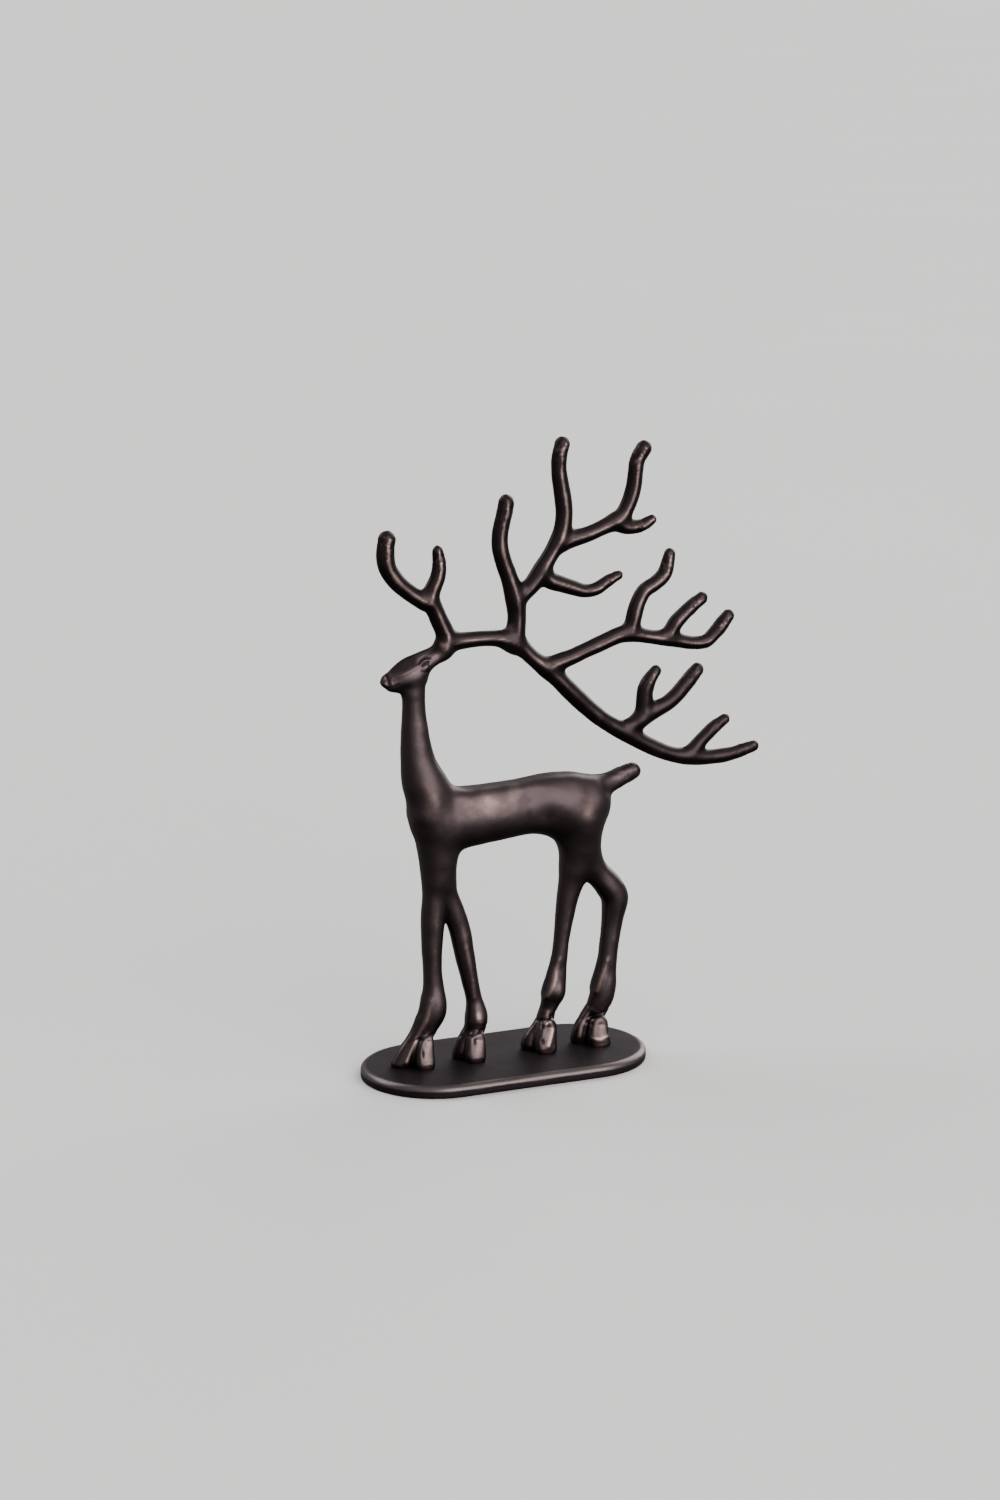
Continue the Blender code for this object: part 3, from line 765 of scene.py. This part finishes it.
# Strokes on both sides of the head: height over the groove's depth, cuts below 0, then the
# width and the line
HEAD_STROKES = {
    "mouth": (-0.4, 0.6, [(-62.0, 190.8), (-60.0, 190.2), (-57.0, 190.4), (-54.6, 191.4)]),
    "nose cut": (-0.7, 0.8, [(-59.6, 196.6), (-59.1, 193.8), (-58.8, 191.4)]),
    "cheek ridge": (0.5, 0.8, [(-57.6, 194.4), (-52.4, 196.4), (-46.6, 199.0), (-43.4, 200.4)]),
    "ear fold": (-0.8, 0.62, [(-44.0, 200.6), (-42.8, 202.0), (-40.9, 202.8), (-38.8, 202.5)]),
    "ear rim": (0.4, 0.6, [(-42.9, 200.6), (-41.7, 201.7), (-39.9, 201.8)]),
    "ear bowl": (-0.9, 0.62, [(-42.6, 199.6), (-41.4, 200.7), (-39.6, 200.8)]),
    "ear foot": (-0.5, 0.62, [(-43.4, 197.2), (-41.6, 196.5), (-39.8, 196.8)]),
}
# Spots there: the same height, then x, z, half width, half height and turn
HEAD_SPOTS = {
    "nostril": (-0.35, -60.7, 193.6, 0.9, 0.6, 0.6),
    "ear bead": (1.0, -40.7, 198.8, 1.1, 1.0, 0.5),
}
# Dents of the near toes: x, z, half width and half height, all of one height over the
# groove's depth, where a normal's part in Y shows that the skin faces the near side
TOE_DENT = -0.8
NEAR_SIDE = -0.2
TOE_DENTS = [(16.6, 12.0, 1.1, 1.5), (17.8, 19.4, 0.8, 1.6), (43.0, 17.0, 1.3, 1.0),
             (44.4, 19.6, 1.0, 0.8), (-17.6, 16.0, 0.8, 1.8), (-44.6, 13.5, 0.7, 2.2)]
# Sharp ridges of the lower legs and toes, front and outside: how high, how much wear and painted
# highlight they take, the line
RIDGES = [(0.5, 0.8, [(-40.3, 39), (-40.6, 36), (-41.3, 32),
                      (-42.8, 27.5), (-44.8, 23.2), (-47.6, 16.8), (-51.0, 9.2)]),
          (0.3, 0.15, [(-21.2, 62), (-19.4, 54), (-17.6, 44), (-16.8, 37)]),
          (0.3, 0.8, [(-20.4, 17.5), (-21.7, 14), (-22.3, 10)]),
          (0.5, 0.9, [(26.6, 50), (25.0, 46), (23.8, 40), (22.2, 36), (20.8, 32.6)]),
          (0.5, 1.0, [(20.4, 24.5), (18.8, 20)]),
          (0.3, 1.0, [(13.8, 13), (12.8, 9)]),
          (0.5, 0.7, [(51.6, 47), (50.4, 43), (48.5, 38), (46.6, 32.4)]),
          (0.5, 1.1, [(44.0, 23), (42.2, 19.5), (40.8, 17.3), (39.6, 14.6), (39.0, 10.0)]),
          (0.5, 0.5, [(21.4, 22.0), (22.6, 16.8), (19.6, 9.8)]),
          (0.5, 0.6, [(42.6, 10.4), (46.4, 9.8), (51.0, 10.6)])]
RIDGES_TOP = 64              # squares, above which there is none
RIDGE_WIDTH = 1.4
RIDGE_HIGHLIGHT_WIDTH = 0.85
# The wear along a ridge is also a painted highlight, and it ends in this fade
RIDGE_HIGHLIGHT_FADE = (-8, 1)           # squares from a ridge's top, between which its rubbing ends
# Middle of the groove round the top of each hoof, then the groove's rise, reach and width
CORONETS = {"left foreleg": (-41.3, 21.2), "right foreleg": (-15.4, 20.2),
            "left hind leg": (22.2, 22.6), "right hind leg": (48.6, 21.0)}
CORONET_RISE = 0.35
CORONET_REACH = 7.0
CORONET_WIDTH = 0.7


def carving(points, normals, shape):
    """Height of the hand carving at each point, in squares, cuts below 0.

    Strokes and spots are drawn on both flanks of the head and round the tops of the
    hooves, and fade where the surface turns away from the flank.
    """
    flank = facing(normals, CARVED_FLANK)
    cut = shape.groove_depth / SQUARE
    height = np.zeros(len(points))
    for share, width, line in HEAD_STROKES.values():
        height += share * cut * stroke(points, line, width) * flank
    for share, *oval in HEAD_SPOTS.values():
        height += share * cut * spot(points, *oval) * flank
    low = points[:, 2] < RIDGES_TOP
    for rise, _, line in RIDGES:
        height[low] += rise * stroke(points[low], line, RIDGE_WIDTH) * flank[low]
    for dent in TOE_DENTS:
        height += TOE_DENT * cut * spot(points, *dent) * (normals[:, 1] < NEAR_SIDE)
    hoof = points[:, 2] < HOOF_FADE[1]
    for x, z in CORONETS.values():
        away = points[:, 0] - x
        band = np.abs(points[:, 2] - z - CORONET_RISE * away) / CORONET_WIDTH
        height -= cut * np.exp(-band ** 2 - (away / CORONET_REACH) ** 2) * hoof
    return height


def broad_forms(points, normals):
    """Height of the flanks' broad forms, and of the hooves drawing in above their soles."""
    spots = [rise * spot(points, *oval) for *oval, rise in FORMS]
    drawn_in = SOLE_DRAWN_IN * (1 - ease(points[:, 2], *SOLE_FADE))
    return np.sum(spots, 0) * facing(normals, CARVED_FLANK) - drawn_in


# Painted sheen and highlights, partly wear, on the flanks, neck, head, legs and antler roots,
# and painted shade where the strength is below 0: x, z, half width, half height, turn and strength
PAINTED_SHEEN_AND_SHADE = [(-8.0, 133.0, 20.0, 6.0, 0.0, 0.55), (22.0, 135.0, 16.0, 4.6, 0.0, 0.15),
            (38.0, 124.0, 7.0, 11.0, 0.0, 0.45), (-40.5, 137.0, 5.0, 9.0, 0.0, 0.35),
            (-44.0, 162.0, 3.6, 20.0, 0.0, 0.20), (-35.0, 203.4, 4.0, 1.6, 0.4, 0.5),
            (2.6, 213.0, 2.2, 4.0, 0.0, 0.5), (-32.4, 208.2, 1.8, 1.6, 0.0, 0.8),
            (-15.6, 28.2, 1.3, 2.4, 0.0, 0.9), (26.4, 37.5, 1.6, 5.0, 0.0, 0.6),
            (-50.4, 200.8, 9.5, 2.4, 0.42, -1.9), (-4.0, 116.5, 26.0, 5.0, 0.0, -0.7)]
# Strokes there: the same strength, then the width and the line
PAINTED_SHEEN_AND_SHADE_STROKES = {
    # Painted highlight along the cheek
    "cheek": (0.3, 1.3, [(-58.0, 192.6), (-54.5, 193.8), (-49.5, 196.0), (-44.5, 198.2)]),
    # Painted shade in the hollow before the haunch
    "painted shade before the haunch": (-0.8, 5.0, [(9.0, 128.5), (17.0, 123.5), (25.0, 116.0),
                                                 (31.0, 107.0)]),
}


def painted_sheen_and_shade_share(points, normals):
    """Painted sheen, highlight and shade, partly wear: a bell at each painted place and along each
    ridge, below 0 for painted shade.
    """
    wear_and_painted_light = np.sum([share * spot(points, *oval) for *oval, share in PAINTED_SHEEN_AND_SHADE], 0)
    for share, width, line in PAINTED_SHEEN_AND_SHADE_STROKES.values():
        wear_and_painted_light += share * stroke(points, line, width)
    low = points[:, 2] < RIDGES_TOP
    # Painted highlight with the wear along the leg ridges, fading out toward each ridge's top
    for _, rub_and_painted_highlight, line in RIDGES:
        fade = 1 - ease(points[low, 2] - line[0][1], *RIDGE_HIGHLIGHT_FADE)
        wear_and_painted_light[low] += rub_and_painted_highlight * stroke(points[low], line, RIDGE_HIGHLIGHT_WIDTH) * fade
    return wear_and_painted_light * facing(normals, PAINTED_LIGHT_FLANK)


def tine_ends():
    """The last point of every tine and of the tail, in squares."""
    ends = [stations[-1] for name, stations in ANTLERS.items() if name != "bridge"]
    return np.array(ends + [NECK["tail"][-1]], dtype=float)


def antler_shade_share(points):
    """1 on the antlers, where the black is darkened as painted shade: above the head, and behind it
    above the back and tail.
    """
    x, z = points[:, 0], points[:, 2]
    share = ease(z, *ANTLER_SHADE_FADE)
    for along, up in (BACK_FADES, END_FADES):
        share = np.maximum(share, ease(x, *along) * ease(z, *up))
    return share


def tip_share(points):
    """1 at a tine's end, fading along about 12 squares."""
    ends = tine_ends()
    gap = np.linalg.norm(points[:, None, ::2] - ends[None, :, :2], axis=-1).min(1)
    return 1 - ease(gap, *TIP_FADE)


def ridge_share(height, creased, edges):
    """How much wear a point's place takes: above 0 on carved ridges, below 0 in cuts and creases.

    It is the height over the mean height about the point, less a share of the crease.
    """
    level = height
    for _ in range(LEVEL_ROUNDS):
        level = neighbour_mean(level, edges)
    return np.clip((height - level) / RIDGE_HEIGHT - CREASE_WEIGHT * creased, -2, 2)


def keep_value(mesh, name, values):
    """Store one number a point on the mesh."""
    kept = mesh.attributes.new(name, "FLOAT", "POINT")
    kept.data.foreach_set("value", values.astype(np.float32))


def raw_skin(limbs):
    """The limbs' raw tubes fused into one mesh, finer at the head and the hooves."""
    points, faces, count = [], [], 0
    for kind, run, sides in limbs:
        ring, quads, caps = raw_tube(run, sides, KINDS[kind][0])
        faces += (quads + count).tolist() + (caps + count).tolist()
        points.append(ring)
        count += len(ring)
    mesh = fuse(np.vstack(points), faces, SKIN_CELL)
    place = mesh_points(mesh)
    x, z = place[:, 0], place[:, 2]
    before, over, under = FINE_HEAD
    refine(mesh, (x < before) & (z > over) & (z < under) | (z < FINE_HOOF))
    return mesh


def cast_skin(shape):
    """The whole animal as one fine skin, with its carving and the values that its metal reads.

    The skin is fitted to the limbs' field, rounded on the body, carved along its normals, and
    then turned from squares into metres.
    """
    limbs = all_limbs()
    mesh = raw_skin(limbs)
    edges = mesh_edges(mesh)
    place = fit_to_skin(mesh_points(mesh), edges, limbs, shape)
    width = fillet_at(place, shape)
    crest = crest_highlight_share(place, limbs, width)
    creased = skin_creases(place, limbs, width) * (1 - body_share(place))
    creased *= ease(place[:, 2], *CREASE_FADE)
    place, normals = round_body(mesh, place, edges, shape.body_smoothing)
    z = place[:, 2]
    # The painted crest highlight shows on the flanks, but not on the body or where the legs have a
    # ridge
    crest *= facing(normals, CREST_FLANK)
    crest *= 1 - between(z, *PLAIN_BODY)
    crest *= 1 - between(z, *PLAIN_SHIN)
    tips = tip_share(place)
    height = waves(place, *TINE_WAVES) * shape.tine_waver / SQUARE * tips
    for length, seed, share in HAND_WAVES:
        height += waves(place, length, seed) * shape.hand_waver / SQUARE * share
    height += carving(place, normals, shape)
    proud = ridge_share(height, creased, edges)
    height += broad_forms(place, normals)
    place = place + normals * height[:, None]
    place[:, 2] = np.maximum(place[:, 2], SOLE_LINE - SOLE_SUNK)
    low = PLATE_HIGH.z
    metres = place * SQUARE
    metres[:, 2] = low + (place[:, 2] - SOLE_LINE) * (FIGURE_HIGH.z - low) / (TOP_LINE - SOLE_LINE)
    mesh.vertices.foreach_set("co", metres.astype(np.float32).ravel())
    keep_value(mesh, "proud", proud)
    # The crest value: painted highlight along the crests, and painted sheen, highlight and shade on
    # flanks, head and legs, partly wear
    keep_value(mesh, "crest", crest + painted_sheen_and_shade_share(place, normals))
    keep_value(mesh, "tip", tips)
    keep_value(mesh, "body", body_share(place))
    # Where the antlers' darker black goes, as painted shade
    keep_value(mesh, "antler", antler_shade_share(place))
    mesh.update()
    mesh.shade_smooth()
    return mesh


def show(name, mesh, material, node):
    """Put a finished mesh in the scene in the place of its CAD node."""
    mesh.name = name
    mesh.materials.clear()
    mesh.materials.append(material)
    piece = bpy.data.objects.new(name, mesh)
    bpy.context.collection.objects.link(piece)
    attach(piece, "root")
    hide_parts(node)
    return piece


def blackened_metal(look):
    """Satin blackened casting: wear on the ridges with painted highlights and sheen, black in the
    creases, painted shade, fine grain, pits and file marks.
    """
    finish = Finish("blackened cast metal")
    place = finish.place()
    proud = finish.attribute("proud")
    crest = finish.attribute("crest")
    tip = finish.attribute("tip")
    body = finish.attribute("body")
    cloud = finish.grain(0.016, place, 4.0, 0.6)
    speck = finish.grain(look.grain, place, 4.0, 0.65)
    coarse = finish.grain(look.grain * 2.6, place, 2.0, 0.5)
    fleck = finish.grain(look.grain * 1.4, place, 3.0, 0.6)
    spread = 0.45 + tip * 1.6 - body * 0.25
    # The lighter metal: wear on the ridges, and painted highlights and sheen from the crest value
    rub_and_painted_highlight = crest * 0.95 + proud * 0.2 + (cloud - 0.5) * 1.0 + (fleck - 0.5) * spread
    rub_and_painted_highlight = rub_and_painted_highlight.step(0.12, 1.15)
    # Black kept in cuts and creases, and painted shade where the crest value is below 0
    black_and_painted_shade = (-proud * 0.9 - crest * 0.8 + (cloud - 0.5) * 0.8).step(0.25, 1.3)
    # Painted shade: the antlers take a darker copy of the black
    antler = tuple(0.5 * part for part in look.dark)
    colour = finish.mix(tuple(look.dark), antler, finish.attribute("antler"))
    colour = finish.mix(colour, tuple(look.rub_and_painted_highlight), rub_and_painted_highlight)
    colour = finish.mix(colour, tuple(look.black_and_painted_shade), black_and_painted_shade * 0.85)
    pit = finish.grain(0.0012, place, 1.0, 0.4, 0.6).step(0.72, 0.80)
    pit = pit * finish.grain(0.012, place, 2.0).step(0.50, 0.62)
    filed = finish.place((60.0, 60.0, 900.0))
    marks = finish.add("ShaderNodeTexNoise", {"noise_dimensions": "3D"}, Vector=filed,
                       Scale=1.0, Detail=2.0, Roughness=0.5)
    relief = speck * 0.32 + coarse * (0.25 + tip * 0.9) + marks * 0.16 - pit * 0.35
    bump = finish.add("ShaderNodeBump", Strength=0.35, Distance=0.00022, Height=relief)
    rough = look.roughness + body * 0.08 + (cloud - 0.5) * 0.14 + (speck - 0.5) * 0.10
    rough = rough + black_and_painted_shade * 0.12 + tip * 0.04 - rub_and_painted_highlight * 0.05
    return finish.finish(Base_Color=colour, Roughness=rough, Metallic=1.0, Normal=bump)


def plate_metal(look):
    """The plate: matte dusty black on top, and a rim whose wear and painted highlight band shine in
    places.
    """
    finish = Finish("black plate metal")
    place = finish.place()
    wear_and_painted_light = finish.attribute("wear_and_painted_light")
    cloud = finish.grain(0.020, place, 4.0, 0.6)
    speck = finish.grain(0.0009, place, 4.0, 0.7)
    coarse = finish.grain(0.0030, place, 3.0, 0.55)
    # The rim band: wear with a painted highlight, broken up by noise
    rub_and_painted_highlight = (wear_and_painted_light + (cloud - 0.5) * 0.9 + (coarse - 0.5) * 0.3).step(0.35, 0.95)
    colour = finish.mix(tuple(look.face), tuple(look.rim), rub_and_painted_highlight)
    relief = speck * 0.35 + coarse * 0.5 + cloud * 0.5
    bump = finish.add("ShaderNodeBump", Strength=0.32, Distance=0.00025, Height=relief)
    rough = look.roughness + (cloud - 0.5) * 0.18 + (speck - 0.5) * 0.08 - rub_and_painted_highlight * 0.20
    return finish.finish(Base_Color=colour, Roughness=rough, Metallic=0.92, Normal=bump)


# Points along the plate's half-round ends and straight sides, rings of its edges and faces
END_POINTS = 65
SIDE_POINTS = 32
EDGE_POINTS = 9
FACE_RINGS = 22
# Shares of the plate's thickness: a ring in its wall, then where the waver and the rim's wear and
# painted highlight start
WALL_RING = 0.32
WAVER_RISE = (0.5, 0.95)
RIM_HIGHLIGHT_RISE = (0.42, 0.66)
# Inset over the upper edge's radius, between which the rim's wear and painted highlight end
RIM_HIGHLIGHT_END = (0.5, 1.6)
# The waver's length in metres, its seed and how far it is set down, over its height
PLATE_WAVE = (0.019, 21)
PLATE_SET_DOWN = 0.6


def plate_skin(shape):
    """The oval plate as an outline swept in by a profile.

    The outline is two half circles joined by straight sides; at profile point (inset,
    height) every outline point moves in by the inset, until it meets the middle line.
    """
    end_radius = (PLATE_HIGH.y - PLATE_LOW.y) / 2
    half = (PLATE_HIGH.x - PLATE_LOW.x) / 2 - end_radius
    angle = np.linspace(-np.pi / 2, np.pi / 2, END_POINTS)
    right = np.column_stack([np.cos(angle), np.sin(angle)])
    end = np.tile((half, 0.0), (END_POINTS, 1))
    run = half - 2 * half * np.linspace(0, 1, SIDE_POINTS + 2)[1:-1]
    side = np.column_stack([run, np.zeros(SIDE_POINTS)])
    beyond = np.tile((0.0, 1.0), (SIDE_POINTS, 1))
    middle = np.vstack([end, side, -end, -side])
    outward = np.vstack([right, beyond, -right, -beyond])
    turn = np.linspace(0, np.pi / 2, EDGE_POINTS)
    thick = PLATE_HIGH.z - PLATE_LOW.z
    inner = np.linspace(end_radius, shape.top_round, FACE_RINGS)
    foot = np.column_stack([shape.foot_round * (1 - np.sin(turn[::2])),
                            shape.foot_round * (1 - np.cos(turn[::2]))])
    top = np.column_stack([shape.top_round * (1 - np.cos(turn)),
                           thick - shape.top_round * (1 - np.sin(turn))])
    under = np.column_stack([inner[:-1:4], np.zeros(len(inner[:-1:4]))])
    over = np.column_stack([inner[-2::-1], np.full(len(inner) - 1, thick)])
    wall = np.array([[0.0, thick * WALL_RING]])
    profile = np.vstack([under, foot, wall, top, over])
    inset, height = profile[:, :1, None], profile[:, 1:]
    flat = middle + outward * (end_radius - inset)
    points = np.dstack([flat, np.broadcast_to(height, flat.shape[:2])])
    upper = ease(points[..., 2] / thick, *WAVER_RISE)
    rim = 1 - ease(profile[:, 0] / shape.top_round, *RIM_HIGHLIGHT_END)
    lift = waves(points.reshape(-1, 3), *PLATE_WAVE).reshape(points.shape[:2])
    points[..., 2] += (lift - PLATE_SET_DOWN) * shape.waver * upper
    rings, corners = points.shape[:2]
    row, corner = np.meshgrid(np.arange(rings - 1), np.arange(corners), indexing="ij")
    beside = (corner + 1) % corners
    faces = np.stack([row * corners + corner, row * corners + beside,
                      (row + 1) * corners + beside, (row + 1) * corners + corner], -1)
    mesh = bpy.data.meshes.new("oval plate")
    mesh.from_pydata(points.reshape(-1, 3), [], faces.reshape(-1, 4).tolist())
    # Painted highlight with the wear: a band up the wall's upper part and round the upper edge
    band = ease(points[..., 2] / thick, *RIM_HIGHLIGHT_RISE)
    wear_and_painted_light = np.broadcast_to(rim[:, None], band.shape) * band
    keep_value(mesh, "wear_and_painted_light", wear_and_painted_light.ravel())
    body = bmesh.new()
    body.from_mesh(mesh)
    bmesh.ops.remove_doubles(body, verts=body.verts, dist=1e-6)
    bmesh.ops.dissolve_degenerate(body, edges=body.edges, dist=1e-7)
    bmesh.ops.recalc_face_normals(body, faces=body.faces)
    body.to_mesh(mesh)
    body.free()
    mesh.shade_smooth()
    return mesh


class REINDEER_OT_casting(Operator):
    """Lay the cast animal's skin and give it its blackened metal"""
    bl_idname = "reindeer.casting"
    bl_label = "Cast reindeer"

    def execute(self, context):
        scene = context.scene
        mesh = cast_skin(scene.casting_shape)
        material = blackened_metal(scene.casting_finish)
        show("cast_reindeer", mesh, material, "reindeer")
        return {"FINISHED"}


class REINDEER_OT_plate(Operator):
    """Make the oval plate and give it its black metal"""
    bl_idname = "reindeer.plate"
    bl_label = "Oval plate"

    def execute(self, context):
        scene = context.scene
        mesh = plate_skin(scene.plate_shape)
        material = plate_metal(scene.plate_finish)
        show("oval_base", mesh, material, "oval_plate")
        return {"FINISHED"}


# The camera stands where the photo was taken: places in metres, angles in degrees
CAMERA_PLACE = (-0.6853, -1.5569, 0.563)
CAMERA_TILT = 76.5
CAMERA_TURN = -23.69

# Broad soft windows of light stand far away: turn and height in degrees, then their
# angular width, strength and colour
WINDOWS = {
    "front window": (15.0, 21.0, 52.0, 2.5, (1.0, 0.985, 0.97)),
    "room": (10.0, 34.0, 120.0, 1.05, (1.0, 0.98, 0.96)),
    "side window": (121.0, 28.0, 50.0, 2.0, (1.0, 0.98, 0.96)),
    "rim window": (-120.0, 32.0, 20.0, 0.55, (0.95, 0.97, 1.0)),
    "back window": (-152.0, 46.0, 34.0, 1.0, (0.96, 0.98, 1.0)),
}


# Upward part of a direction between which the surround brightens from its low to its high
SURROUND_RISE = (-0.75, -0.15)
SURROUND_LOW = 0.3
SURROUND_COLOUR = (0.98, 0.975, 0.97, 1.0)
SENSOR = 36.0


def lay_floor(collection, look):
    """A flat floor under the plate, as a square grid of points."""
    across = look.fineness + 1
    ticks = np.linspace(-look.floor_reach, look.floor_reach, across)
    x, y = np.meshgrid(ticks, ticks, indexing="ij")
    points = np.stack([x, y, np.full_like(x, PLATE_LOW.z)], -1).reshape(-1, 3)
    row, column = np.meshgrid(np.arange(look.fineness), np.arange(look.fineness), indexing="ij")
    first = row * across + column
    faces = np.stack([first, first + across, first + across + 1, first + 1], -1)
    mesh = bpy.data.meshes.new("floor")
    mesh.from_pydata(points, [], faces.reshape(-1, 4).tolist())
    finish = Finish("pale floor")
    cloud = finish.grain(0.35, finish.place(), 3.0, 0.5)
    base = tuple(look.floor_colour)
    colour = finish.mix(base, tuple(0.94 * part for part in base), cloud)
    mesh.materials.append(finish.finish(Base_Color=colour, Roughness=0.85))
    floor = bpy.data.objects.new("floor", mesh)
    collection.objects.link(floor)
    # Mirrored in it, a pale floor would wash the black metal out from below
    floor.visible_glossy = False


def hang_windows(collection):
    """The windows of light, each a wide far light."""
    for name, (turn, rise, width, strength, colour) in WINDOWS.items():
        light = bpy.data.lights.new(name, "SUN")
        light.angle = np.radians(width)
        light.energy = strength
        light.color = colour
        window = bpy.data.objects.new(name, light)
        window.rotation_euler = np.radians((90.0 - rise, 0.0, turn))
        collection.objects.link(window)


def soft_surround(look):
    """A grey surround that is darker from below, and pale where it is seen directly."""
    world = bpy.data.worlds.new("surround")
    world.use_nodes = True
    nodes = Nodes(world.node_tree)
    backdrop = nodes.tree.nodes["Background"]
    seen = nodes.add("ShaderNodeLightPath", output="Is Camera Ray")
    heading = nodes.add("ShaderNodeTexCoord", output="Generated")
    above = nodes.add("ShaderNodeSeparateXYZ", None, heading, output="Z").step(*SURROUND_RISE)
    strength = look.surround * (SURROUND_LOW + above * (1 - SURROUND_LOW))
    strength = strength + seen * (look.backdrop - look.surround)
    nodes.plug(backdrop.inputs["Color"], SURROUND_COLOUR)
    nodes.plug(backdrop.inputs["Strength"], strength)
    return world


def stand_camera(collection, look):
    """The camera at the photo's place."""
    lens = bpy.data.cameras.new("camera")
    lens.lens = look.lens
    lens.sensor_width = SENSOR
    camera = bpy.data.objects.new("camera", lens)
    camera.location = CAMERA_PLACE
    camera.rotation_euler = np.radians((CAMERA_TILT, 0.0, CAMERA_TURN))
    collection.objects.link(camera)
    return camera


class REINDEER_OT_studio(Operator):
    """Lay the pale floor, hang the windows of light and stand the camera"""
    bl_idname = "reindeer.studio"
    bl_label = "Studio"

    def execute(self, context):
        look = context.scene.studio_look
        lay_floor(context.collection, look)
        hang_windows(context.collection)
        context.scene.world = soft_surround(look)
        context.scene.camera = stand_camera(context.collection, look)
        return {"FINISHED"}


class REINDEER_PT_panel(Panel):
    """Lists the pieces and their settings"""
    bl_idname = "REINDEER_PT_panel"
    bl_label = "Cast reindeer"
    bl_space_type = "VIEW_3D"
    bl_region_type = "UI"
    bl_category = "Reindeer"

    def draw(self, context):
        for operator in OPERATORS:
            self.layout.operator(operator.bl_idname)
        for name, group in SETTINGS.items():
            box = self.layout.box()
            box.label(text=name.replace("_", " ").capitalize())
            for field in group.__annotations__:
                box.prop(getattr(context.scene, name), field)


OPERATORS = (REINDEER_OT_casting, REINDEER_OT_plate, REINDEER_OT_studio)
CLASSES = tuple(SETTINGS.values()) + OPERATORS + (REINDEER_PT_panel,)


def register():
    for item in CLASSES:
        bpy.utils.register_class(item)
    for name, group in SETTINGS.items():
        setattr(bpy.types.Scene, name, PointerProperty(type=group))


def unregister():
    for name in SETTINGS:
        delattr(bpy.types.Scene, name)
    for item in reversed(CLASSES):
        bpy.utils.unregister_class(item)


def main():
    """Make the pieces and the studio."""
    register()
    bpy.ops.reindeer.casting()
    bpy.ops.reindeer.plate()
    bpy.ops.reindeer.studio()


if __name__ == "__main__":
    main()
